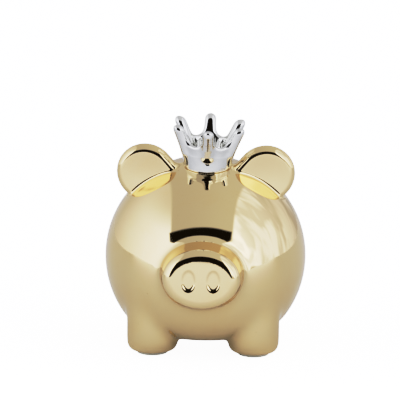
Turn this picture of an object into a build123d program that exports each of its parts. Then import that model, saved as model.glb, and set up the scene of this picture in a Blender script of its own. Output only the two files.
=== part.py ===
"""Round pig money bank: a hollow slip-cast pig, a six-pointed crown, a belly stopper and foot pads.

The pig stands on z = 0 and looks along -Y. Its left side is +X. The origin is on the floor, under
the middle of the whole bank's bounding box. Sizes are in millimetres.
"""

from build123d import *
from math import acos, asin, atan2, cos, radians, sin
import os

os.makedirs("parts", exist_ok=True)

# Body: a ball with a flat belly.
body_radius = 60.0
wall = 4.0
belly_drop = 44.8
belly_round = 8.0

# Feet and the pads under them. Drops are measured down from the body's centre.
foot_drop = 51.2
foot_radius = 15.1
foot_edge_round = 5.5
foot_half_track = 29.8
foot_half_wheelbase = 29.0
leg_root_rise = 34.0
pad_radius = 9.5
pad_thickness = 1.3
pad_edge_round = 0.4

# Snout: a slightly tapered oval drum.
snout_reach = 75.0
snout_root = 40.0
snout_rise = 2.2
snout_root_size = (25.7, 21.3)
snout_face_size = (21.5, 16.8)
snout_edge_round = 7.0
snout_root_round = 5.5
nostril_size = (3.6, 5.9)
nostril_spread = 7.0
nostril_depth = 1.8

# Ears: shallow round cups that face forward, a little outward and a little down, each with a web
# down to the crown's foot.
ear_spread = 35.8
ear_forward = 16.5
ear_rise = 51.4
ear_turn = 6.0
ear_nod = 7.0
ear_radius = 17.7
ear_thickness = 9.0
ear_rim = 4.6
ear_cup_depth = 3.0
ear_web_foot = (-20.7, 3.4)
ear_front_round = 3.4
ear_back_round = 4.0

# Tail: a curl that lies on the rump.
tail_rise = 12.0
tail_curl_radius = 5.2
tail_thickness = 4.8
tail_lift = 1.3
tail_turn = 300.0

# Coin slot along the back, behind the crown.
slot_width = 5.0
slot_length = 34.0
slot_behind = 25.0

# Emptying hole and its stopper.
hole_radius = 17.0
stopper_flange_radius = 19.8
stopper_flange_thickness = 1.6
stopper_neck_radius = 15.9
stopper_bead_radius = 16.9
stopper_bead_height = 3.0
stopper_wall = 2.0
stopper_lip_width = 9.0
stopper_lip_reach = 3.5

# Crown: a cup that leans forward and a little to its left. Its six round-ended points splay outward.
crown_aside = 0.9
crown_forward = 11.3
crown_rise = 55.35
crown_lean = 5.0
crown_tilt = 2.5
crown_points = 6
crown_foot_radius = 14.4
crown_valley_radius = 17.4
crown_valley_height = 17.3
crown_tip_radius = 20.3
crown_tip_height = 25.0
crown_tip_round = 2.7
point_root_radius = 16.2
point_root_height = 13.0
point_root_size = (5.0, 2.2)
point_tip_radius = 2.5
crown_wall = 3.2
crown_floor = 8.0
glue_gap = 0.05

# The tail stands off the rump along the skin's normal, which is a radius of the ball.
rump_slope = asin(tail_rise / body_radius)
tail_normal = Vector(0, cos(rump_slope), sin(rump_slope))
tail_offset = tail_normal * (body_radius + tail_lift)
tail_reach = tail_offset.Y + tail_curl_radius * tail_normal.Z + tail_thickness / 2

# The body's centre stands at this place, so that the whole bank's box is centred on the origin.
centre = Vector(0, (snout_reach - tail_reach) / 2, pad_thickness + foot_drop)


def from_centre(x, y, z):
    """A point given from the body's centre."""
    return centre + Vector(x, y, z)


def snout_plane(forward):
    """Plane across the snout, this far in front of the body's centre."""
    return Plane(from_centre(0, -forward, snout_rise), x_dir=(1, 0, 0), z_dir=(0, -1, 0))


def snout_meets_ball(edge):
    """True for an edge at the foot of the snout that lies on the ball's skin all along."""
    on_skin = all(abs((edge @ (step / 8) - centre).length - body_radius) < 0.01 for step in range(9))
    return on_skin and edge.center().Y < centre.Y - snout_root


foot_centres = [
    (side * foot_half_track, centre.Y + end * foot_half_wheelbase)
    for end in (-1, 1)
    for side in (1, -1)
]
foot_names = ["front_left", "front_right", "rear_left", "rear_right"]
belly_level = centre.Z - belly_drop

# Left ear. Its plane faces forward and a little down, x runs outward and y runs up.
turn = radians(ear_turn)
nod = radians(ear_nod)
ear_plane = Plane(
    from_centre(ear_spread, -ear_forward, ear_rise),
    x_dir=(cos(turn), sin(turn), 0),
    z_dir=(sin(turn) * cos(nod), -cos(turn) * cos(nod), -sin(nod)),
)
web_foot = Vector(*ear_web_foot)
web_bearing = atan2(web_foot.Y, web_foot.X) - acos(ear_radius / web_foot.length)
web_touch = (ear_radius * cos(web_bearing), ear_radius * sin(web_bearing))
cup_opening = ear_radius - ear_rim
cup_ball = (cup_opening**2 + ear_cup_depth**2) / (2 * ear_cup_depth)
with BuildPart() as left_ear:
    with BuildSketch(ear_plane):
        Circle(ear_radius)
        with BuildLine():
            Polyline(web_foot, web_touch, (0, 0), (0, -ear_radius), close=True)
        make_face()
    extrude(amount=-ear_thickness)
    fillet(left_ear.faces().sort_by(Axis.Y)[-1].edges(), ear_back_round)
    with Locations(ear_plane.offset(cup_ball - ear_cup_depth)):
        Sphere(cup_ball, mode=Mode.SUBTRACT)
    fillet(left_ear.faces().sort_by(Axis.Y)[0].edges(), ear_front_round)

# Tail: most of a ring that lies against the rump, with round ends.
tail_plane = Plane(centre + tail_offset, x_dir=(1, 0, 0), z_dir=tail_normal)
tail_end = radians(tail_turn)
root_point = tail_plane.from_local_coords((tail_curl_radius, 0, 0))
tip_point = tail_plane.from_local_coords(
    (tail_curl_radius * cos(tail_end), tail_curl_radius * sin(tail_end), 0)
)
with BuildPart() as tail:
    with BuildSketch(Plane(root_point, x_dir=(1, 0, 0), z_dir=tail_plane.y_dir)):
        Circle(tail_thickness / 2)
    revolve(axis=Axis(tail_plane.origin, tail_plane.z_dir), revolution_arc=tail_turn)
    with Locations(root_point, tip_point):
        Sphere(tail_thickness / 2)

# Hollow inside the casting.
with BuildPart() as hollow:
    with Locations(centre):
        Sphere(body_radius - wall)
    split(bisect_by=Plane.XY.offset(belly_level + wall), keep=Keep.TOP)
    with BuildSketch(snout_plane(snout_root)):
        Ellipse(snout_root_size[0] - wall, snout_root_size[1] - wall)
    with BuildSketch(snout_plane(snout_reach - nostril_depth - wall)):
        Ellipse(snout_face_size[0] - wall, snout_face_size[1] - wall)
    loft()
    with BuildSketch(Plane.XY.offset(pad_thickness + wall)):
        with Locations(*foot_centres):
            Circle(foot_radius - wall)
    extrude(amount=leg_root_rise - wall)

# The casting: ball, snout, legs, ears and tail in one piece, then its hollow, nostrils, slot and hole.
with BuildPart() as body_shell:
    with Locations(centre):
        Sphere(body_radius)
    split(bisect_by=Plane.XY.offset(belly_level), keep=Keep.TOP)
    fillet(body_shell.edges().sort_by(Axis.Z)[0], belly_round)
    with BuildSketch(snout_plane(snout_root)):
        Ellipse(*snout_root_size)
    with BuildSketch(snout_plane(snout_reach)):
        Ellipse(*snout_face_size)
    loft()
    fillet(body_shell.faces().sort_by(Axis.Y)[0].edges(), snout_edge_round)
    fillet(body_shell.edges().filter_by(snout_meets_ball), snout_root_round)
    with BuildSketch(Plane.XY.offset(pad_thickness)):
        with Locations(*foot_centres):
            Circle(foot_radius)
    extrude(amount=leg_root_rise)
    fillet(body_shell.faces().sort_by(Axis.Z)[:4].edges(), foot_edge_round)
    add(left_ear.part)
    add(mirror(left_ear.part, about=Plane.YZ, mode=Mode.PRIVATE))
    add(tail.part)
    add(hollow.part, mode=Mode.SUBTRACT)
    with BuildSketch(snout_plane(snout_reach)):
        with Locations((-nostril_spread, 0), (nostril_spread, 0)):
            Ellipse(*nostril_size)
    extrude(amount=-nostril_depth, mode=Mode.SUBTRACT)
    with BuildSketch(Plane(from_centre(0, slot_behind, 0))):
        SlotOverall(slot_length, slot_width, rotation=90)
    extrude(amount=2 * body_radius, mode=Mode.SUBTRACT)
    with BuildSketch(Plane(Vector(0, centre.Y, 0))):
        Circle(hole_radius)
    extrude(amount=belly_level + 2 * wall, mode=Mode.SUBTRACT)
body_shell.part.label = "body_shell"
export_step(body_shell.part, "parts/body_shell.step")

# Crown. Its plane stands on the head with z along the crown's axis.
lean = radians(crown_lean)
tilt = radians(crown_tilt)
crown_plane = Plane(
    from_centre(crown_aside, -crown_forward, crown_rise),
    x_dir=(cos(tilt), sin(lean) * sin(tilt), -cos(lean) * sin(tilt)),
    z_dir=(sin(tilt), -sin(lean) * cos(tilt), cos(lean) * cos(tilt)),
)
crown_side = Plane(crown_plane.origin, x_dir=crown_plane.x_dir, z_dir=crown_plane.y_dir * -1)


def in_crown(bearing, reach, height):
    """A point given from the crown's foot: bearing 0 is the front."""
    angle = radians(bearing)
    return crown_plane.from_local_coords((reach * sin(angle), -reach * cos(angle), height))


with BuildPart() as crown:
    with BuildSketch(crown_side):
        with BuildLine():
            Polyline(
                (0, crown_floor),
                (crown_foot_radius - crown_wall, crown_floor),
                (crown_valley_radius - crown_wall, crown_valley_height),
                (crown_valley_radius, crown_valley_height),
                (crown_foot_radius, 0),
                (crown_foot_radius, -crown_floor),
                (0, -crown_floor),
                close=True,
            )
        make_face()
    revolve(axis=Axis(crown_plane.origin, crown_plane.z_dir))
    for bearing in range(0, 360, 360 // crown_points):
        root = in_crown(bearing, point_root_radius, point_root_height)
        tip = in_crown(bearing, crown_tip_radius, crown_tip_height)
        across = in_crown(bearing + 90, 1, 0) - crown_plane.origin
        with BuildSketch(Plane(root, x_dir=across, z_dir=tip - root)):
            Ellipse(*point_root_size)
        with BuildSketch(Plane(tip, x_dir=across, z_dir=tip - root)):
            Circle(point_tip_radius)
        loft()
        with Locations(tip):
            Sphere(crown_tip_round)
    with Locations(centre):
        Sphere(body_radius + glue_gap, mode=Mode.SUBTRACT)
crown.part.label = "crown"
export_step(crown.part, "parts/crown.step")

# Stopper: a soft cup that is pushed up through the hole, with a flange outside and a bead inside.
flange_top = belly_level - glue_gap
flange_bottom = flange_top - stopper_flange_thickness
bead_bottom = belly_level + wall + glue_gap
bead_top = bead_bottom + stopper_bead_height
with BuildPart() as belly_stopper:
    with BuildSketch(Plane(Vector(0, centre.Y, 0), x_dir=(1, 0, 0), z_dir=(0, -1, 0))):
        with BuildLine():
            Polyline(
                (stopper_neck_radius, bead_top),
                (stopper_neck_radius - stopper_wall, bead_top),
                (stopper_neck_radius - stopper_wall, flange_top),
                (0, flange_top),
                (0, flange_bottom),
                (stopper_flange_radius, flange_bottom),
                (stopper_flange_radius, flange_top),
                (stopper_neck_radius, flange_top),
                (stopper_neck_radius, bead_bottom),
            )
            ThreePointArc(
                (stopper_neck_radius, bead_bottom),
                (stopper_bead_radius, (bead_bottom + bead_top) / 2),
                (stopper_neck_radius, bead_top),
            )
        make_face()
    revolve(axis=Axis((0, centre.Y, 0), (0, 0, 1)))
    with BuildSketch(Plane(Vector(0, centre.Y + stopper_flange_radius, flange_bottom))):
        RectangleRounded(stopper_lip_width, 2 * stopper_lip_reach, stopper_lip_reach * 0.8)
    extrude(amount=stopper_flange_thickness)
belly_stopper.part.label = "belly_stopper"
export_step(belly_stopper.part, "parts/belly_stopper.step")

# Foot pads, stuck flat under the feet.
for name, foot in zip(foot_names, foot_centres):
    with BuildPart() as foot_pad:
        with BuildSketch(Plane(Vector(*foot, 0))):
            Circle(pad_radius)
        extrude(amount=pad_thickness)
        fillet(foot_pad.edges().sort_by(Axis.Z)[0], pad_edge_round)
    foot_pad.part.label = name + "_foot_pad"
    export_step(foot_pad.part, "parts/" + foot_pad.part.label + ".step")
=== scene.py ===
# %% [markdown]
# # A gold-plated pig money bank
# The real bank is a hollow slip-cast pig with a mirror of gold over its glaze. A silver-plated
# crown is glued on its head. A soft stopper closes the hole in its belly, and a stick-on pad sits
# under each foot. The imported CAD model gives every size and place. This file makes the finished
# skins and materials around it.

# %% Load the frame
import math
import bmesh
import bpy
import numpy as np
from mathutils import Matrix, Vector


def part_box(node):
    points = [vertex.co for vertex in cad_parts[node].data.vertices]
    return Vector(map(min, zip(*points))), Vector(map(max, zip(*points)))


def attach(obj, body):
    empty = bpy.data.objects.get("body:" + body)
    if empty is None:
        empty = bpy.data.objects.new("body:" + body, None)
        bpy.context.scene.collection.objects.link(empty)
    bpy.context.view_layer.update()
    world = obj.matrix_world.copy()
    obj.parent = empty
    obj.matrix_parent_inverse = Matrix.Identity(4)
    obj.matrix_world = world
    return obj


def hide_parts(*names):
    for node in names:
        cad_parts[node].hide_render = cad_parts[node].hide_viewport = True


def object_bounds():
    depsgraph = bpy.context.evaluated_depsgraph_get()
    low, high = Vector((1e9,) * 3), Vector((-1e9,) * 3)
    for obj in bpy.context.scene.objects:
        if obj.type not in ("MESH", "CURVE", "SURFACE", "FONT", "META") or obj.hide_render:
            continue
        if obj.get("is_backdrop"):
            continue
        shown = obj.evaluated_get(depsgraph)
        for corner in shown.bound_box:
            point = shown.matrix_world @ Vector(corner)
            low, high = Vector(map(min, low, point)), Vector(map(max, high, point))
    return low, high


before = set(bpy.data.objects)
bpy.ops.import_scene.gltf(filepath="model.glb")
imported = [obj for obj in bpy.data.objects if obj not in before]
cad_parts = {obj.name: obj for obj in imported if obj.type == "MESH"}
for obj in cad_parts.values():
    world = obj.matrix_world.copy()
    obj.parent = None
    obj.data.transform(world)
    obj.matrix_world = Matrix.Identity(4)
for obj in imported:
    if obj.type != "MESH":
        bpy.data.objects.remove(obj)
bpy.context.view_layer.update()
scene = bpy.context.scene
mm = 0.001

# %% [markdown]
# The pig is a ball, so the ball's middle is the best place to measure everything from. The ball is
# the widest part of the casting, so half of the casting's width is its radius. The snout's tip is
# the front end of the casting and the soles of the feet are its lowest points.

# %% Where the ball is
shell_low, shell_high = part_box("body_shell")
ball_radius = (shell_high.x - shell_low.x) / 2 / mm
snout_reach = 75.0
foot_drop = 51.2
ball_centre = Vector((0, shell_low.y + snout_reach * mm, shell_low.z + foot_drop * mm))
print(f"ball of {ball_radius:.1f} mm radius, centred {ball_centre.z / mm:.1f} mm above the floor")

# %% [markdown]
# The camera looks slightly down on the face with a long lens, so the pig keeps its true
# proportions. Turn and rise say which way it stands from the pig, and tilt rolls it a little. It
# aims above the ball's middle, which leaves more room over the crown than under the feet.

# %% Camera
turn, rise, tilt = math.radians(2.1), math.radians(12), math.radians(0.6)
stand_off = 1.2
aim_across, aim_up = -3.3, 32.6
away = Vector((math.sin(turn) * math.cos(rise), -math.cos(turn) * math.cos(rise), math.sin(rise)))
facing = (-away).to_track_quat("-Z", "Y") @ Matrix.Rotation(tilt, 3, "Z").to_quaternion()
camera = bpy.data.objects.new("camera", bpy.data.cameras.new("camera"))
scene.collection.objects.link(camera)
scene.camera = camera
camera.data.lens = 180
camera.data.sensor_width = 36
aim = ball_centre + facing @ Vector((aim_across * mm, aim_up * mm, 0))
camera.rotation_mode = "QUATERNION"
camera.rotation_quaternion = facing
camera.location = aim + away * stand_off
print("camera stands at", [round(c, 3) for c in camera.location])

# %% [markdown]
# ## Shaping a mirror
# A mirror shows every flat spot of its mesh. A subdivided mesh of a ball with a snout, legs and
# ears would pinch at the joins, and a plain boolean would leave hard seams where thick glaze runs
# soft. So each plated skin is described by a formula that says how far a point is from it, as a
# sculptor's soft union of simple solids. A copy of the CAD solid is remeshed evenly, and its
# vertices settle on the formula's zero. The formula also gives the exact normal at each vertex,
# so reflections glide over the joins.

# %% Soft union, soft cut and soft overlap of two distances
def join(a, b, radius):
    """The union of two forms with a fillet of about this radius, in millimetres."""
    width = 1.76 * radius
    near = np.maximum(width - np.abs(a - b), 0) / width
    return np.minimum(a, b) - near**3 * width / 6


def overlap(a, b, radius):
    """What two forms share, with its edge rounded."""
    return -join(-a, -b, radius)


def crisp_overlap(a, b, radius):
    """What two forms share, with its edge turned to a true arc of this radius."""
    corner = np.hypot(np.maximum(a + radius, 0), np.maximum(b + radius, 0))
    return np.minimum(np.maximum(a, b), -radius) + corner


def cut(a, b, radius):
    """Form a without form b, with the new edge rounded."""
    return overlap(a, -b, radius)


def oval(across, up, half_width, half_height):
    """Distance to an oval in its own plane, good near its outline."""
    reach = np.hypot(across / half_width, up / half_height)
    slope = np.hypot(across / half_width**2, up / half_height**2) + 1e-9
    return reach * (reach - 1) / slope


def blend_between(value, low, high):
    """0 below low, 1 above high, and smooth between them."""
    share = np.clip((value - low) / (high - low), 0, 1)
    return share * share * (3 - 2 * share)


# %% Settle a mesh on a form
def slope_of(form, points):
    """Which way the form grows fastest at each point."""
    step = 0.02
    slope = np.empty_like(points)
    for axis in range(3):
        ahead, behind = points.copy(), points.copy()
        ahead[:, axis] += step
        behind[:, axis] -= step
        slope[:, axis] = (form(ahead) - form(behind)) / (2 * step)
    return slope


def settled(form, points, rounds):
    """The points, moved onto the form's skin by Newton's steps."""
    longest_step = 0.8
    for _ in range(rounds):
        slope = slope_of(form, points)
        steepness = np.maximum((slope**2).sum(1, keepdims=True), 0.04)
        move = -form(points)[:, None] * slope / steepness
        length = np.linalg.norm(move, axis=1, keepdims=True) + 1e-9
        points = points + move * np.minimum(1, longest_step / length)
    return points


def read_points(mesh, origin):
    """A mesh's vertices in millimetres from the origin."""
    points = np.empty(len(mesh.vertices) * 3)
    mesh.vertices.foreach_get("co", points)
    return (points.reshape(-1, 3) - np.array(origin)) / mm


def write_points(mesh, origin, points):
    mesh.vertices.foreach_set("co", (points * mm + np.array(origin)).ravel())
    mesh.update()


def smooth_then_settle(mesh, form, origin, rounds):
    """Evens the mesh out with the smooth operator, then puts it back on the form."""
    work = bmesh.new()
    work.from_mesh(mesh)
    for _ in range(3):
        bmesh.ops.smooth_vert(
            work, verts=work.verts, factor=0.5, use_axis_x=True, use_axis_y=True, use_axis_z=True
        )
    work.to_mesh(mesh)
    work.free()
    write_points(mesh, origin, settled(form, read_points(mesh, origin), rounds))


def plated_skin(name, node, form, origin, grid):
    """A new piece with the CAD node's shape, remeshed on this grid and settled on the form."""
    cast = bpy.data.objects.new(name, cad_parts[node].data.copy())
    scene.collection.objects.link(cast)
    weld = bmesh.new()
    weld.from_mesh(cast.data)
    bmesh.ops.remove_doubles(weld, verts=weld.verts, dist=0.002 * mm)
    weld.to_mesh(cast.data)
    weld.free()
    remesh = cast.modifiers.new("even_grid", "REMESH")
    remesh.mode = "VOXEL"
    remesh.voxel_size = grid * mm
    even = bpy.data.meshes.new_from_object(cast.evaluated_get(bpy.context.evaluated_depsgraph_get()))
    cast.modifiers.clear()
    cast.data = even
    even.name = name
    even.materials.clear()
    for rounds in (4, 4, 8):
        smooth_then_settle(even, form, origin, rounds)
    return cast


def exact_normals(mesh, form, origin):
    """Gives each vertex the form's own normal."""
    slope = slope_of(form, read_points(mesh, origin))
    slope /= np.linalg.norm(slope, axis=1, keepdims=True) + 1e-12
    mesh.polygons.foreach_set("use_smooth", np.ones(len(mesh.polygons), bool))
    mesh.normals_split_custom_set_from_vertices(slope.tolist())


# %% [markdown]
# ## The pig's outside
# The casting is a ball with a flat belly, an oval snout that tapers a little, four round legs, two
# cupped ears and a curl of a tail. All sizes are in millimetres from the ball's middle. The pig is
# even from side to side, so most forms read the distance from its middle plane. Forms that stand
# out of the ball on one side only, or are cut through it there, begin at form_start.

# %% Ball and belly
form_start = 20
belly_drop = 44.8
belly_round = 8.0


def ball_form(points):
    ball = np.linalg.norm(points, axis=1) - ball_radius
    return overlap(ball, -points[:, 2] - belly_drop, belly_round)


# %% Snout and nostrils
snout_root = 40
snout_root_half = (25.7, 21.3)
snout_taper = (0.12, 0.1286)
snout_rise = 2.2
snout_edge_round = 5.0
snout_dome = 0.25
nostril_spread = 7.0
nostril_half = (3.6, 5.9)
nostril_depth = 0.6
nostril_floor_round = 1.2
nostril_mouth = 90


def snout_form(points):
    across, forward, up = points[:, 0], -points[:, 1], points[:, 2] - snout_rise
    half_width = snout_root_half[0] - snout_taper[0] * (forward - snout_root)
    half_height = snout_root_half[1] - snout_taper[1] * (forward - snout_root)
    side = oval(across, up, half_width, half_height)
    middle = np.hypot(across / half_width, up / half_height)
    face = forward - snout_reach + snout_dome * np.minimum(middle, 1.2) ** 2
    drum = crisp_overlap(side, face, snout_edge_round)
    return np.maximum(drum, form_start - forward)


def nostril_form(points):
    """A shallow oval dish with a flat floor."""
    beside = np.abs(points[:, 0]) - nostril_spread
    up = points[:, 2] - snout_rise
    forward = -points[:, 1]
    face_level = snout_reach - 0.1
    wall_form = np.maximum(oval(beside, up, *nostril_half), forward - nostril_mouth)
    return overlap(wall_form, face_level - nostril_depth - forward, nostril_floor_round)


# %% Legs
foot_radius = 15.1
foot_half_track = 29.8
foot_half_wheelbase = 29.0
foot_edge_round = 5.5
leg_top = -10.0


def leg_form(points):
    beside = np.abs(points[:, 0]) - foot_half_track
    along = np.abs(points[:, 1]) - foot_half_wheelbase
    post = np.hypot(beside, along) - foot_radius
    foot = overlap(post, -points[:, 2] - foot_drop, foot_edge_round)
    return np.maximum(foot, points[:, 2] - leg_top)


# %% Ears
ear_place = (35.8, -16.5, 51.4)
ear_turn = math.radians(6)
ear_nod = math.radians(8)
ear_radius = 17.7
ear_web_foot = (-19.5, 1.5)
ear_web_radius = 2.0
ear_thickness = 9.0
ear_cup_depth = 1.3
ear_cup_half = (13.2, 12.8)
ear_cup_inward = 0.8
ear_front_slope = 0.62


def ear_axes(points):
    """Outward, upward and forward distances in the ear's own axes."""
    beside, along = np.abs(points[:, 0]) - ear_place[0], points[:, 1] - ear_place[1]
    outward = beside * math.cos(ear_turn) + along * math.sin(ear_turn)
    level = beside * math.sin(ear_turn) - along * math.cos(ear_turn)
    rise_up = points[:, 2] - ear_place[2]
    forward = level * math.cos(ear_nod) - rise_up * math.sin(ear_nod)
    return outward, rise_up * math.cos(ear_nod) + level * math.sin(ear_nod), forward


def ear_outline(outward, upward):
    """A circle drawn out to a rounded point at the crown's foot."""
    length = math.hypot(*ear_web_foot)
    way = (ear_web_foot[0] / length, ear_web_foot[1] / length)
    along = outward * way[0] + upward * way[1]
    beside = np.abs(outward * way[1] - upward * way[0])
    lean = (ear_radius - ear_web_radius) / length
    upright = math.sqrt(1 - lean * lean)
    place = along * upright - beside * lean
    by_circle = np.hypot(beside, along) - ear_radius
    by_point = np.hypot(beside, along - length) - ear_web_radius
    by_side = beside * upright + along * lean - ear_radius
    return np.where(place < 0, by_circle, np.where(place > upright * length, by_point, by_side))


def ear_form(points):
    """A cupped disc whose edge slopes long and then turns in tightly at the face."""
    outward, upward, forward = ear_axes(points)
    bowl = np.hypot((outward + ear_cup_inward) / ear_cup_half[0], upward / ear_cup_half[1])
    dish = forward + ear_cup_depth * (1 - np.minimum(bowl, 1.8) ** 2)
    front = overlap(forward, dish, 1.5)
    disc = crisp_overlap(ear_outline(outward, upward), front * ear_front_slope, 4.3)
    return overlap(disc, -forward - ear_thickness, 4.0)


def ear_root_round(points):
    """The fillet under an ear: tight at its face and full at its back."""
    return 1.2 + 2.6 * blend_between(-ear_axes(points)[2], 1, ear_thickness)


# %% Tail
tail_rise, tail_reach = 12, 60
tail_slope = math.asin(tail_rise / tail_reach)
tail_curl = 5.2
tail_lift = 1.3
tail_root_thick, tail_tip_thick = 2.5, 1.7
tail_half_turn = math.radians(150)


def tail_form(points):
    level = points[:, 1] * math.cos(tail_slope) + points[:, 2] * math.sin(tail_slope)
    down = points[:, 1] * math.sin(tail_slope) - points[:, 2] * math.cos(tail_slope)
    level = level - ball_radius - tail_lift
    across = points[:, 0] * math.sin(tail_half_turn) - down * math.cos(tail_half_turn)
    along = points[:, 0] * math.cos(tail_half_turn) + down * math.sin(tail_half_turn)
    bearing = np.arctan2(across, along)
    held = np.clip(bearing, -tail_half_turn, tail_half_turn)
    spine_across, spine_along = tail_curl * np.sin(held), tail_curl * np.cos(held)
    off_spine = np.sqrt((across - spine_across) ** 2 + (along - spine_along) ** 2 + level**2)
    share = (held + tail_half_turn) / (2 * tail_half_turn)
    return off_spine - (tail_tip_thick + (tail_root_thick - tail_tip_thick) * share)


# %% The whole outside
def outside_form(points):
    below_snout = blend_between(snout_rise - points[:, 2], -8, 14)
    form = join(ball_form(points), snout_form(points), 2.6 + 3.6 * below_snout)
    form = join(form, leg_form(points), 2.8)
    form = join(form, ear_form(points), ear_root_round(points))
    form = join(form, tail_form(points), 1.3)
    return cut(form, nostril_form(points), 0.8)


# %% [markdown]
# Slip casting leaves a wall of even thickness, so the hollow is the outside brought in by the
# wall: a smaller ball, a smaller snout and four wells above the feet. The coin slot and the belly
# hole are cut while the clay is soft and their edges are sponged round.

# %% The hollow, the coin slot and the belly hole
wall = 4.0
hollow_root_half = (21.7, 17.3)
hollow_taper = (0.13, 0.14)
slot_half_length, slot_half_width, slot_behind = 14.5, 2.5, 25.0
hole_radius = 17.0


def hollow_form(points):
    ball = np.linalg.norm(points, axis=1) - (ball_radius - wall)
    room = overlap(ball, -points[:, 2] - (belly_drop - wall), 6.0)
    across, forward, up = points[:, 0], -points[:, 1], points[:, 2] - snout_rise
    half_width = hollow_root_half[0] - hollow_taper[0] * (forward - snout_root)
    half_height = hollow_root_half[1] - hollow_taper[1] * (forward - snout_root)
    side = oval(across, up, half_width, half_height)
    snout = overlap(side, forward - (snout_reach - 2 * nostril_depth - wall), 2.0)
    snout = np.maximum(snout, form_start - forward)
    beside = np.abs(points[:, 0]) - foot_half_track
    along = np.abs(points[:, 1]) - foot_half_wheelbase
    well = np.hypot(beside, along) - (foot_radius - wall)
    well = overlap(well, -points[:, 2] - (foot_drop - wall), 2.5)
    well = np.maximum(well, points[:, 2] - leg_top)
    return join(join(room, snout, 2.5), well, 2.5)


def slot_form(points):
    past_end = np.maximum(np.abs(points[:, 1] - slot_behind) - slot_half_length, 0)
    return np.maximum(np.hypot(points[:, 0], past_end) - slot_half_width, form_start - points[:, 2])


def hole_form(points):
    return np.maximum(np.hypot(points[:, 0], points[:, 1]) - hole_radius, form_start + points[:, 2])


def casting_form(points):
    form = np.maximum(outside_form(points), -hollow_form(points))
    return cut(cut(form, slot_form(points), 0.9), hole_form(points), 0.7)


# %% [markdown]
# ## The casting
# A grid of about a millimetre carries the ball well. The snout's face and the ears have tighter
# curves, so their faces are split once more before the last settling. A value on each vertex tells
# how deep it lies below the outside, and the plating stops just inside the slot and the hole.

# %% Make the casting
casting_grid = 1.3
casting = plated_skin("gold_pig_casting", "body_shell", casting_form, ball_centre, casting_grid)


def is_fine_place(point):
    """True near the snout's face and the ears, where the curves are tight."""
    spot = (point - ball_centre) / mm
    past_ball = spot.length > ball_radius + 0.3
    return spot.y < -66 or (past_ball and spot.z > 30 and spot.y < 0)


refine = bmesh.new()
refine.from_mesh(casting.data)
fine_edges = [e for e in refine.edges if all(is_fine_place(v.co) for v in e.verts)]
bmesh.ops.subdivide_edges(refine, edges=fine_edges, cuts=1, use_grid_fill=True)
refine.to_mesh(casting.data)
refine.free()
for rounds in (4, 10):
    smooth_then_settle(casting.data, casting_form, ball_centre, rounds)
exact_normals(casting.data, casting_form, ball_centre)

depth = casting.data.attributes.new("below_outside", "FLOAT", "POINT")
depth.data.foreach_set("value", -outside_form(read_points(casting.data, ball_centre)))
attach(casting, "bank")
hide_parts("body_shell")
print("casting has", len(casting.data.polygons), "faces")

# %% [markdown]
# ## The crown
# The crown is its own small casting, plated silver and glued on the head, leaning a little
# forward and to one side. It is an open cup whose wall flares and runs up into six points, with
# wide valleys between them. A tapered round core fills each point out, so that it isn't a flat
# tab. The crown is made the same way as the pig, on a finer grid and in its own axes.

# %% Crown forms
crown_place = (0.9, -11.3, 55.35)
crown_lean = math.radians(5)
crown_tilt = math.radians(2.5)
crown_points = 6
crown_valley = 15.6
crown_peak = 26.9
crown_floor, crown_skirt = 8.0, 8.0
point_half_width = 2.6
core_foot_ahead, core_foot_height, core_foot_radius = 14.6, 11.5, 2.9
core_tip_ahead, core_tip_height, core_tip_radius = 20.3, 24.3, 2.6
crown_foot_middle = 12.6
crown_half_wall = 1.6
splay_start = 12
glue_gap = 0.05


def crown_axes(points):
    """Across, ahead and height in the crown's own axes."""
    aside, forward = points[:, 0] - crown_place[0], crown_place[1] - points[:, 1]
    up = points[:, 2] - crown_place[2]
    leant_up = up * math.cos(crown_lean) + forward * math.sin(crown_lean)
    ahead = forward * math.cos(crown_lean) - up * math.sin(crown_lean)
    across = aside * math.cos(crown_tilt) - leant_up * math.sin(crown_tilt)
    return across, ahead, leant_up * math.cos(crown_tilt) + aside * math.sin(crown_tilt)


def crown_middle(height):
    """Radius of the middle of the crown's wall: a slow flare, then a quick splay at the points."""
    above = np.maximum(height, 0)
    splay = np.maximum(height - splay_start, 0)
    return crown_foot_middle + 0.1 * above + 0.003 * above**2 + 0.018 * splay**2


def crown_flare(height):
    """How much longer the wall is than it is high, because it leans out."""
    slope = 0.1 + 0.006 * np.maximum(height, 0) + 0.036 * np.maximum(height - splay_start, 0)
    return np.sqrt(1 + slope**2)


def point_core(ahead, beside, height):
    """A round core that tapers up each point and ends in a ball."""
    run, climb = core_tip_ahead - core_foot_ahead, core_tip_height - core_foot_height
    past_foot, above_foot = ahead - core_foot_ahead, height - core_foot_height
    along = np.clip((past_foot * run + above_foot * climb) / (run**2 + climb**2), 0, 1)
    off_axis = np.hypot(past_foot - along * run, above_foot - along * climb)
    return np.hypot(off_axis, beside) - (core_foot_radius + along * (core_tip_radius - core_foot_radius))


def crown_form(points):
    across, ahead, height = crown_axes(points)
    radius = np.hypot(across, ahead)
    spacing = math.tau / crown_points
    bearing = np.arctan2(across, ahead)
    off_point = bearing - spacing * np.round(bearing / spacing)
    beside = np.abs(off_point) * radius
    spine = np.clip(height, 0, crown_peak - point_half_width)
    point = np.hypot(beside, height - spine) - point_half_width
    outline = join(height - crown_valley, point, 6.0)
    sheet = np.abs(radius - crown_middle(height)) / crown_flare(height) - crown_half_wall
    form = crisp_overlap(sheet, outline, 1.55)
    core = point_core(radius * np.cos(off_point), radius * np.sin(off_point), height)
    form = join(form, core, 2.6)
    plug = np.maximum(radius - crown_middle(height), height - crown_floor)
    form = join(form, plug, 2.2)
    skull = np.linalg.norm(points, axis=1) - (ball_radius + glue_gap)
    return overlap(cut(form, skull, 0.7), -height - crown_skirt, 0.5)


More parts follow.
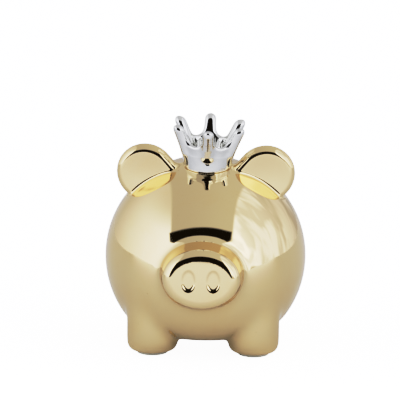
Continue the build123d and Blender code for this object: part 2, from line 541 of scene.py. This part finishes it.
# %% Make the crown
crown_grid = 0.55
crown = plated_skin("silver_crown", "crown", crown_form, ball_centre, crown_grid)
exact_normals(crown.data, crown_form, ball_centre)
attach(crown, "bank")
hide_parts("crown")
print("crown has", len(crown.data.polygons), "faces")

# %% [markdown]
# ## The stopper
# The stopper is a moulded soft cup. Its thin flange rests against the belly, a round bead behind
# the flange snaps over the edge of the hole, and a lip at the back gives a fingertip something to
# pull. A turned part is quickest as half a section spun once round. The lip is then drawn out of
# the flange's rim, and a subdivision surface softens the whole moulding.

# %% Turn a section into a piece
def turned(name, section, corner, place, steps):
    """Spins a section of (radius, height) points round the upright axis, with its corners eased."""
    work = bmesh.new()
    points = [work.verts.new((radius * mm, 0, height * mm)) for radius, height in section]
    for here, there in zip(points, points[1:]):
        work.edges.new((here, there))
    eased = [v for v in points[1:-1] if v.co.x > 0]
    bmesh.ops.bevel(
        work, geom=eased, offset=corner * mm, segments=3, profile=0.5, affect="VERTICES", material=-1
    )
    bmesh.ops.spin(
        work, geom=work.verts[:] + work.edges[:], axis=(0, 0, 1), cent=(0, 0, 0),
        angle=math.tau, steps=steps, use_merge=True,
    )
    bmesh.ops.remove_doubles(work, verts=work.verts, dist=0.01 * mm)
    bmesh.ops.recalc_face_normals(work, faces=work.faces)
    bmesh.ops.translate(work, verts=work.verts, vec=place)
    mesh = bpy.data.meshes.new(name)
    work.to_mesh(mesh)
    work.free()
    mesh.polygons.foreach_set("use_smooth", np.ones(len(mesh.polygons), bool))
    piece = bpy.data.objects.new(name, mesh)
    scene.collection.objects.link(piece)
    return piece


# %% Stopper
stopper_low, stopper_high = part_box("belly_stopper")
flange_radius = (stopper_high.x - stopper_low.x) / 2 / mm
stopper_height = (stopper_high.z - stopper_low.z) / mm
flange = 1.6
neck_radius, bead_radius, bore_radius = 15.9, 16.9, 13.9
cup_floor = flange + 0.4
stopper_section = [
    (0, 0.45), (4.5, 0.45), (5.4, 0), (11.6, 0), (12.2, 0), (13.0, 0.5), (15.6, 0.5), (16.4, 0),
    (flange_radius, 0), (flange_radius, flange), (neck_radius, flange),
    (neck_radius, stopper_height - 3.0), (bead_radius, stopper_height - 2.1),
    (bead_radius, stopper_height - 1.1), (15.7, stopper_height), (bore_radius, stopper_height),
    (bore_radius, cup_floor), (0, cup_floor),
]
stopper = turned(
    "belly_stopper_moulding", stopper_section, 0.35, (0, ball_centre.y, stopper_low.z), 72
)

# %% Draw the finger lip out of the flange
lip_half_width = 4.5
lip_reach = stopper_high.y - ball_centre.y - flange_radius * mm
lip = bmesh.new()
lip.from_mesh(stopper.data)
rim_faces = [
    f for f in lip.faces
    if abs(f.calc_center_median().x) < lip_half_width * mm
    and f.calc_center_median().y - ball_centre.y > (flange_radius - 0.6) * mm
    and f.normal.y > 0.7
]
drawn = bmesh.ops.extrude_face_region(lip, geom=rim_faces)
drawn_verts = [g for g in drawn["geom"] if isinstance(g, bmesh.types.BMVert)]
bmesh.ops.delete(lip, geom=rim_faces, context="FACES")
for v in drawn_verts:
    share = min(abs(v.co.x) / (lip_half_width * mm), 1)
    v.co.y += lip_reach * math.sqrt(1 - 0.75 * share * share)
    v.co.x *= 0.9
lip.to_mesh(stopper.data)
lip.free()
soften = stopper.modifiers.new("soften", "SUBSURF")
soften.levels = soften.render_levels = 1
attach(stopper, "stopper")
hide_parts("belly_stopper")
print("stopper flange is", round(flange_radius, 2), "mm in radius; lip faces", len(rim_faces))

# %% [markdown]
# ## The foot pads
# Each pad is a stick-on disc with a rounded lower edge and a shallow dished sole, so it is also
# a turned section. A loop makes the four.

# %% Foot pads
pads = []
for foot in ("front_left", "front_right", "rear_left", "rear_right"):
    low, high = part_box(foot + "_foot_pad")
    pad_radius, pad_thick = (high.x - low.x) / 2 / mm, (high.z - low.z) / mm
    pad_section = [
        (0, 0.12), (pad_radius * 0.55, 0.08), (pad_radius - 1.1, 0), (pad_radius - 0.35, 0.0),
        (pad_radius, 0.45), (pad_radius, pad_thick - 0.1), (pad_radius - 0.1, pad_thick), (0, pad_thick),
    ]
    middle = ((low.x + high.x) / 2, (low.y + high.y) / 2, low.z)
    pad = turned(foot + "_clear_pad", pad_section, 0.12, middle, 64)
    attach(pad, "bank")
    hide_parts(foot + "_foot_pad")
    pads.append(pad)
print("pads", len(pads))

# %% [markdown]
# ## Materials
# Plating over glaze is a true mirror, but a hand-dipped glaze is never optically flat. It swims in
# slow ripples, hazes a little from handling and carries a few specks. Both platings share these
# effects, so they are one node group with its own scale and strength in each material.

# %% Node helpers
def put(tree, kind, sockets=None, **settings):
    """Adds a node, sets it, and fills its sockets with values or links."""
    made = tree.nodes.new(kind)
    for name, value in settings.items():
        setattr(made, name, value)
    for socket, value in (sockets or {}).items():
        if isinstance(value, bpy.types.NodeSocket):
            tree.links.new(value, made.inputs[socket])
        else:
            made.inputs[socket].default_value = value
    return made


def maths(tree, operation, *values):
    made = put(tree, "ShaderNodeMath", dict(enumerate(values)), operation=operation)
    return made.outputs[0]


def ranged(tree, value, low, high, to_low, to_high, kind="SMOOTHSTEP"):
    """The value, carried from one range to another."""
    sockets = {"Value": value, "From Min": low, "From Max": high, "To Min": to_low, "To Max": to_high}
    return put(tree, "ShaderNodeMapRange", sockets, interpolation_type=kind).outputs[0]


def mixed(tree, share, first, second):
    """Two colours mixed."""
    made = put(tree, "ShaderNodeMix", {"Factor": share}, data_type="RGBA")
    for name, value in (("A", first), ("B", second)):
        socket = [s for s in made.inputs if s.name == name and s.type == "RGBA"][0]
        if isinstance(value, bpy.types.NodeSocket):
            tree.links.new(value, socket)
        else:
            socket.default_value = (*value, 1)
    return [s for s in made.outputs if s.type == "RGBA"][0]


def new_group(name, inputs, outputs):
    """A shader node group with named sockets. Returns the tree, its inputs and its output node."""
    tree = bpy.data.node_groups.new(name, "ShaderNodeTree")
    for label, kind, value in inputs:
        socket = tree.interface.new_socket(label, in_out="INPUT", socket_type=kind)
        if value is not None:
            socket.default_value = value
    for label, kind in outputs:
        tree.interface.new_socket(label, in_out="OUTPUT", socket_type=kind)
    return tree, tree.nodes.new("NodeGroupInput").outputs, tree.nodes.new("NodeGroupOutput")


def new_material(name):
    made = bpy.data.materials.new(name)
    made.use_nodes = True
    return made, made.node_tree, made.node_tree.nodes["Principled BSDF"]


def use(tree, group, **sockets):
    made = tree.nodes.new("ShaderNodeGroup")
    made.node_tree = group
    for name, value in sockets.items():
        socket = made.inputs[name.replace("_", " ")]
        if isinstance(value, bpy.types.NodeSocket):
            tree.links.new(value, socket)
        else:
            socket.default_value = value
    return made.outputs


# %% Glaze effects shared by both platings
FLOAT, VECTOR = "NodeSocketFloat", "NodeSocketVector"
glaze_skin, given, result = new_group(
    "glaze_skin",
    [("Place", VECTOR, None), ("Ripples per metre", FLOAT, 60.0)],
    [("Ripple", FLOAT), ("Haze", FLOAT), ("Speck", FLOAT)],
)
ripple = put(
    glaze_skin, "ShaderNodeTexNoise",
    {"Vector": given["Place"], "Scale": given["Ripples per metre"], "Detail": 1.5, "Roughness": 0.35},
)
haze = put(
    glaze_skin, "ShaderNodeTexNoise",
    {"Vector": given["Place"], "Scale": 38.0, "Detail": 5.0, "Roughness": 0.62, "Distortion": 0.6},
)
specks = put(
    glaze_skin, "ShaderNodeTexVoronoi", {"Vector": given["Place"], "Scale": 190.0, "Randomness": 1.0}
)
glaze_skin.links.new(ripple.outputs[0], result.inputs["Ripple"])
glaze_skin.links.new(ranged(glaze_skin, haze.outputs[0], 0.45, 0.72, 0.0, 1.0), result.inputs["Haze"])
speck_size = ranged(glaze_skin, specks.outputs["Distance"], 0.03, 0.06, 1.0, 0.0)
rare = ranged(glaze_skin, put(
    glaze_skin, "ShaderNodeSeparateColor", {"Color": specks.outputs["Color"]}
).outputs[0], 0.90, 0.93, 0.0, 1.0)
glaze_skin.links.new(maths(glaze_skin, "MULTIPLY", speck_size, rare), result.inputs["Speck"])

# %% [markdown]
# The gold is a metal whose colour leans to straw. It turns a touch redder where the film is
# thinner. Below the outside, in the slot and the hole, the film runs out over bare white clay,
# which is chalky and faintly stained where the gold ends.

# %% Gold over clay
straw_gold, red_gold, speck_gold = (0.80, 0.645, 0.385), (0.80, 0.60, 0.32), (0.42, 0.30, 0.12)
gold, tree, shader = new_material("plated_gold")
place = put(tree, "ShaderNodeTexCoord").outputs["Object"]
skin = use(tree, glaze_skin, Place=place, Ripples_per_metre=55.0)
clay_grain = put(tree, "ShaderNodeTexNoise", {"Vector": place, "Scale": 420.0, "Detail": 4.0})
depth_value = put(tree, "ShaderNodeAttribute", attribute_name="below_outside").outputs["Fac"]
ragged = maths(tree, "ADD", depth_value, ranged(tree, clay_grain.outputs[0], 0.3, 0.7, -0.25, 0.25))
bare = ranged(tree, ragged, 1.0, 1.5, 0.0, 1.0)
film = mixed(tree, maths(tree, "MULTIPLY", skin["Haze"], 0.3), straw_gold, red_gold)
film = mixed(tree, skin["Speck"], film, speck_gold)
clay = mixed(tree, clay_grain.outputs[0], (0.74, 0.70, 0.62), (0.84, 0.81, 0.75))
tree.links.new(mixed(tree, bare, film, clay), shader.inputs["Base Color"])
tree.links.new(maths(tree, "SUBTRACT", 1.0, bare), shader.inputs["Metallic"])
film_rough = maths(tree, "ADD", 0.035, maths(tree, "MULTIPLY", skin["Haze"], 0.035))
rough = maths(tree, "ADD", film_rough, maths(tree, "MULTIPLY", bare, 0.6))
tree.links.new(rough, shader.inputs["Roughness"])
swim = put(tree, "ShaderNodeBump", {"Height": skin["Ripple"], "Strength": 0.35, "Distance": 0.0002})
chalk = put(
    tree, "ShaderNodeBump",
    {"Height": maths(tree, "MULTIPLY", clay_grain.outputs[0], bare), "Strength": 0.5,
     "Distance": 0.0001, "Normal": swim.outputs[0]},
)
tree.links.new(chalk.outputs[0], shader.inputs["Normal"])
casting.data.materials.append(gold)
print("gold has", len(tree.nodes), "nodes")

# %% Silver
clean_silver, hazed_silver, speck_silver = (0.78, 0.78, 0.75), (0.70, 0.70, 0.68), (0.4, 0.4, 0.42)
silver, tree, shader = new_material("plated_silver")
place = put(tree, "ShaderNodeTexCoord").outputs["Object"]
skin = use(tree, glaze_skin, Place=place, Ripples_per_metre=230.0)
film = mixed(tree, maths(tree, "MULTIPLY", skin["Haze"], 0.5), clean_silver, hazed_silver)
tree.links.new(mixed(tree, skin["Speck"], film, speck_silver), shader.inputs["Base Color"])
shader.inputs["Metallic"].default_value = 1.0
rough = maths(tree, "ADD", 0.05, maths(tree, "MULTIPLY", skin["Haze"], 0.06))
tree.links.new(rough, shader.inputs["Roughness"])
swim = put(tree, "ShaderNodeBump", {"Height": skin["Ripple"], "Strength": 0.55, "Distance": 0.0003})
tree.links.new(swim.outputs[0], shader.inputs["Normal"])
crown.data.materials.append(silver)
print("silver has", len(tree.nodes), "nodes")

# %% [markdown]
# The stopper and the pads are soft mouldings that let a little light in. Both share a fine matt
# mould grain with dust in it. The stopper is milky and the pads are cloudy and faintly green.

# %% Soft mouldings
mould_skin, given, result = new_group(
    "mould_skin",
    [("Place", VECTOR, None), ("Dust", FLOAT, 0.3)],
    [("Grain", FLOAT), ("Dusty", FLOAT)],
)
grain = put(
    mould_skin, "ShaderNodeTexNoise", {"Vector": given["Place"], "Scale": 2600.0, "Detail": 3.0}
)
clouds = put(
    mould_skin, "ShaderNodeTexNoise", {"Vector": given["Place"], "Scale": 120.0, "Detail": 6.0}
)
mould_skin.links.new(grain.outputs[0], result.inputs["Grain"])
dusty = ranged(mould_skin, clouds.outputs[0], 0.45, 0.7, 0.0, 1.0)
mould_skin.links.new(maths(mould_skin, "MULTIPLY", dusty, given["Dust"]), result.inputs["Dusty"])


def soft_moulding(name, colour, dust_colour, roughness, scatter):
    """A soft, faintly cloudy moulding."""
    made, tree, shader = new_material(name)
    place = put(tree, "ShaderNodeTexCoord").outputs["Object"]
    skin = use(tree, mould_skin, Place=place, Dust=0.6)
    tree.links.new(mixed(tree, skin["Dusty"], colour, dust_colour), shader.inputs["Base Color"])
    rough = maths(tree, "ADD", roughness, maths(tree, "MULTIPLY", skin["Dusty"], 0.25))
    tree.links.new(rough, shader.inputs["Roughness"])
    shader.inputs["Subsurface Weight"].default_value = scatter
    shader.inputs["Subsurface Radius"].default_value = (1.0, 1.0, 0.8)
    shader.inputs["Subsurface Scale"].default_value = 0.0015
    fine = put(tree, "ShaderNodeBump", {"Height": skin["Grain"], "Strength": 0.2, "Distance": 0.00005})
    tree.links.new(fine.outputs[0], shader.inputs["Normal"])
    return made


stopper.data.materials.append(
    soft_moulding("milky_stopper", (0.80, 0.80, 0.76), (0.60, 0.59, 0.54), 0.38, 0.5)
)
clear_pad = soft_moulding("clear_pad", (0.66, 0.68, 0.60), (0.56, 0.58, 0.51), 0.25, 0.3)
for pad in pads:
    pad.data.materials.append(clear_pad)

# %% [markdown]
# ## The light tent
# A mirror only looks like metal when it has something to mirror. The studio is a tent of pale
# cloth: a bright panel on each side, a dimmer roof, and the dark opening at the front where the
# camera looks in. It is painted on the world by direction, so every view gets the same soft light
# and no lamp can be seen. A direction is told by how far it points to the pig's left, how far it
# points to the front, and its height over the table, whose plane tips with the camera. The
# panels are named as the camera sees them, so the left panel is on the pig's right.

# %% A soft-edged mask
tent_mask, given, result = new_group(
    "tent_mask", [("Inside by", FLOAT, 0.0), ("Feather", FLOAT, 0.05)], [("Mask", FLOAT)]
)
share = maths(tent_mask, "DIVIDE", given["Inside by"], given["Feather"])
tent_mask.links.new(ranged(tent_mask, share, -0.5, 0.5, 0.0, 1.0), result.inputs["Mask"])

# %% Paint the tent
world = bpy.data.worlds.new("light_tent")
scene.world = world
world.use_nodes = True
tree = world.node_tree
tree.nodes.clear()
direction = put(tree, "ShaderNodeTexCoord").outputs["Generated"]
left, back, up = put(tree, "ShaderNodeSeparateXYZ", {0: direction}).outputs
front = maths(tree, "MULTIPLY", back, -1.0)


def plane(*parts):
    """How far a direction is past a plane through the pig, as a sum of (value, weight) and numbers."""
    total = 0.0
    for part in parts:
        if isinstance(part, tuple):
            part = maths(tree, "MULTIPLY", *part)
        total = maths(tree, "ADD", total, part)
    return total


def inside(feather, *distances):
    """A soft mask that is 1 where every distance is above 0."""
    nearest = distances[0]
    for distance in distances[1:]:
        nearest = maths(tree, "MINIMUM", nearest, distance)
    return use(tree, tent_mask, Inside_by=nearest, Feather=feather)["Mask"]


over_table = plane((up, 0.978), (front, -0.208))
over_left_hem = plane(over_table, 0.28)
over_right_hem = plane(over_table, 0.17)
roof_share = ranged(tree, left, -0.5, 0.6, 0.0, 1.0)
roof = mixed(tree, roof_share, (0.60, 0.60, 0.63), (0.70, 0.70, 0.72))
low_behind = inside(0.25, plane((up, -1.0), 0.30), plane((back, 1.0), -0.1))
light = mixed(tree, low_behind, roof, (0.54, 0.55, 0.60))

left_fade = ranged(tree, front, -0.75, 0.65, 0.0, 1.0, "LINEAR")
left_cloth = mixed(tree, left_fade, (0.66, 0.66, 0.70), (1.75, 1.78, 1.95))
left_panel = maths(
    tree, "MULTIPLY", inside(0.30, over_left_hem),
    inside(0.05, plane((left, -1.0), (front, -0.15), -0.52), plane((up, -1.0), 0.93)),
)
left_cloth = mixed(tree, ranged(tree, up, 0.45, 0.9, 0.0, 1.0), left_cloth, (0.80, 0.80, 0.84))
light = mixed(tree, left_panel, light, left_cloth)

drape = put(tree, "ShaderNodeMapping", {"Vector": direction, "Scale": (1.2, 4.0, 1.6)}).outputs[0]
folds = put(
    tree, "ShaderNodeTexNoise", {"Vector": drape, "Scale": 1.5, "Detail": 1.5, "Distortion": 0.5}
).outputs[0]
fold_shade = ranged(tree, folds, 0.38, 0.62, 0.72, 1.12)
beside = ranged(tree, front, -0.8, 0.1, 0.0, 1.0)
before = ranged(tree, front, 0.3, 0.7, 0.0, 1.0)
right_cloth = mixed(tree, beside, (0.74, 0.74, 0.80), (1.30, 1.32, 1.45))
right_cloth = mixed(tree, before, right_cloth, (2.1, 2.13, 2.3))
folded = put(tree, "ShaderNodeVectorMath", {0: right_cloth, 1: fold_shade}, operation="MULTIPLY")
right_panel = inside(
    0.05, plane((left, 1.0), (front, -0.05), -0.49), over_right_hem, plane((up, -1.0), 0.90)
)
light = mixed(tree, right_panel, light, folded.outputs[0])

arch_drop = maths(tree, "MULTIPLY", maths(tree, "POWER", left, 2.0), -0.45)
under_arch = plane((up, -1.0), arch_drop, 0.70)
opening = inside(0.03, plane((left, 1.0), 0.63), plane((left, -1.0), 0.50), front, under_arch)
light = mixed(tree, opening, light, (0.010, 0.008, 0.006))
seen = put(tree, "ShaderNodeLightPath").outputs["Is Camera Ray"]
light = mixed(tree, seen, light, (3.0, 3.0, 3.0))
tent = put(tree, "ShaderNodeBackground", {"Color": light, "Strength": 1.0})
tree.links.new(tent.outputs[0], put(tree, "ShaderNodeOutputWorld").inputs["Surface"])
print("tent has", len(tree.nodes), "nodes")

# %% [markdown]
# ## The floor
# The floor is a wide sheet of white paper. The camera sees it almost burnt out, with only a
# breath of shadow under the feet, while the gold sees it as plain pale paper. Its emission is
# painted light for the gold to mirror: a painted glow towards the front, and painted shade under
# and behind the pig. Further out it ends in the dark opening, and the mirror sees that edge too.

# %% Paper floor
paper_radius, paper_drop = 4.0, 0.0001
paper = bmesh.new()
bmesh.ops.create_circle(paper, cap_ends=True, segments=96, radius=paper_radius)
bmesh.ops.translate(paper, verts=paper.verts, vec=(0, 0, -paper_drop))
paper_mesh = bpy.data.meshes.new("paper_floor")
paper.to_mesh(paper_mesh)
paper.free()
floor = bpy.data.objects.new("paper_floor", paper_mesh)
scene.collection.objects.link(floor)
floor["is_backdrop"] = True

paper_white, tree, shader = new_material("paper_white")
place = put(tree, "ShaderNodeTexCoord").outputs["Object"]
fibre = put(tree, "ShaderNodeTexNoise", {"Vector": place, "Scale": 900.0, "Detail": 3.0})
pulp = mixed(tree, fibre.outputs[0], (0.76, 0.77, 0.79), (0.80, 0.81, 0.83))
tree.links.new(pulp, shader.inputs["Base Color"])
behind = put(tree, "ShaderNodeSeparateXYZ", {0: place}).outputs[1]
# Painted light: the paper's emission runs from painted shade under and behind the pig to a painted glow
# towards the front.
near_front = ranged(tree, behind, -0.32, 0.03, 1.0, 0.0)
painted_paper_glow = mixed(tree, near_front, (0.07, 0.07, 0.07), (0.47, 0.47, 0.52))
tree.links.new(painted_paper_glow, shader.inputs["Emission Color"])
shader.inputs["Emission Strength"].default_value = 1.0
shader.inputs["Roughness"].default_value = 0.9
shader.inputs["Specular IOR Level"].default_value = 0.1
seen = put(tree, "ShaderNodeLightPath").outputs["Is Camera Ray"]
glow = put(tree, "ShaderNodeEmission", {"Color": (1, 1, 1, 1), "Strength": 2.3})
burnt = put(tree, "ShaderNodeAddShader", {0: shader.outputs[0], 1: glow.outputs[0]})
bright = put(tree, "ShaderNodeMixShader", {0: seen, 1: shader.outputs[0], 2: burnt.outputs[0]})
past_edge = ranged(tree, behind, -0.42, -0.39, 1.0, 0.0)
unseen = maths(tree, "SUBTRACT", 1.0, seen)
below = put(tree, "ShaderNodeNewGeometry").outputs["Backfacing"]
gone = maths(tree, "MAXIMUM", maths(tree, "MULTIPLY", past_edge, unseen), below)
clear = put(tree, "ShaderNodeBsdfTransparent")
ended = put(tree, "ShaderNodeMixShader", {0: gone, 1: bright.outputs[0], 2: clear.outputs[0]})
tree.links.new(ended.outputs[0], tree.nodes["Material Output"].inputs["Surface"])
floor.data.materials.append(paper_white)

# %% [markdown]
# ## The print
# Bright cloth in a mirror would burn out, so a tone curve rolls the highlights off softly. White
# is set well above paper white, and the curve lifts the middle tones to make up for it.

# %% Highlight roll-off
scene.view_settings.view_transform = "Standard"
scene.view_settings.use_curve_mapping = True
curves = scene.view_settings.curve_mapping
curves.white_level = (3.0, 3.0, 3.0)
roll_off = curves.curves[3].points
roll_off[0].location = (0, 0)
roll_off[1].location = (1, 1)
tones = ((0.0745, 0.165), (0.132, 0.375), (0.167, 0.5), (0.27, 0.72), (0.5, 0.88), (0.73, 0.95))
for given_light, shown_light in tones:
    roll_off.new(given_light, shown_light)
curves.update()

# %% Sizes and finish
low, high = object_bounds()
print("visual box", [round(c, 4) for c in low], [round(c, 4) for c in high])
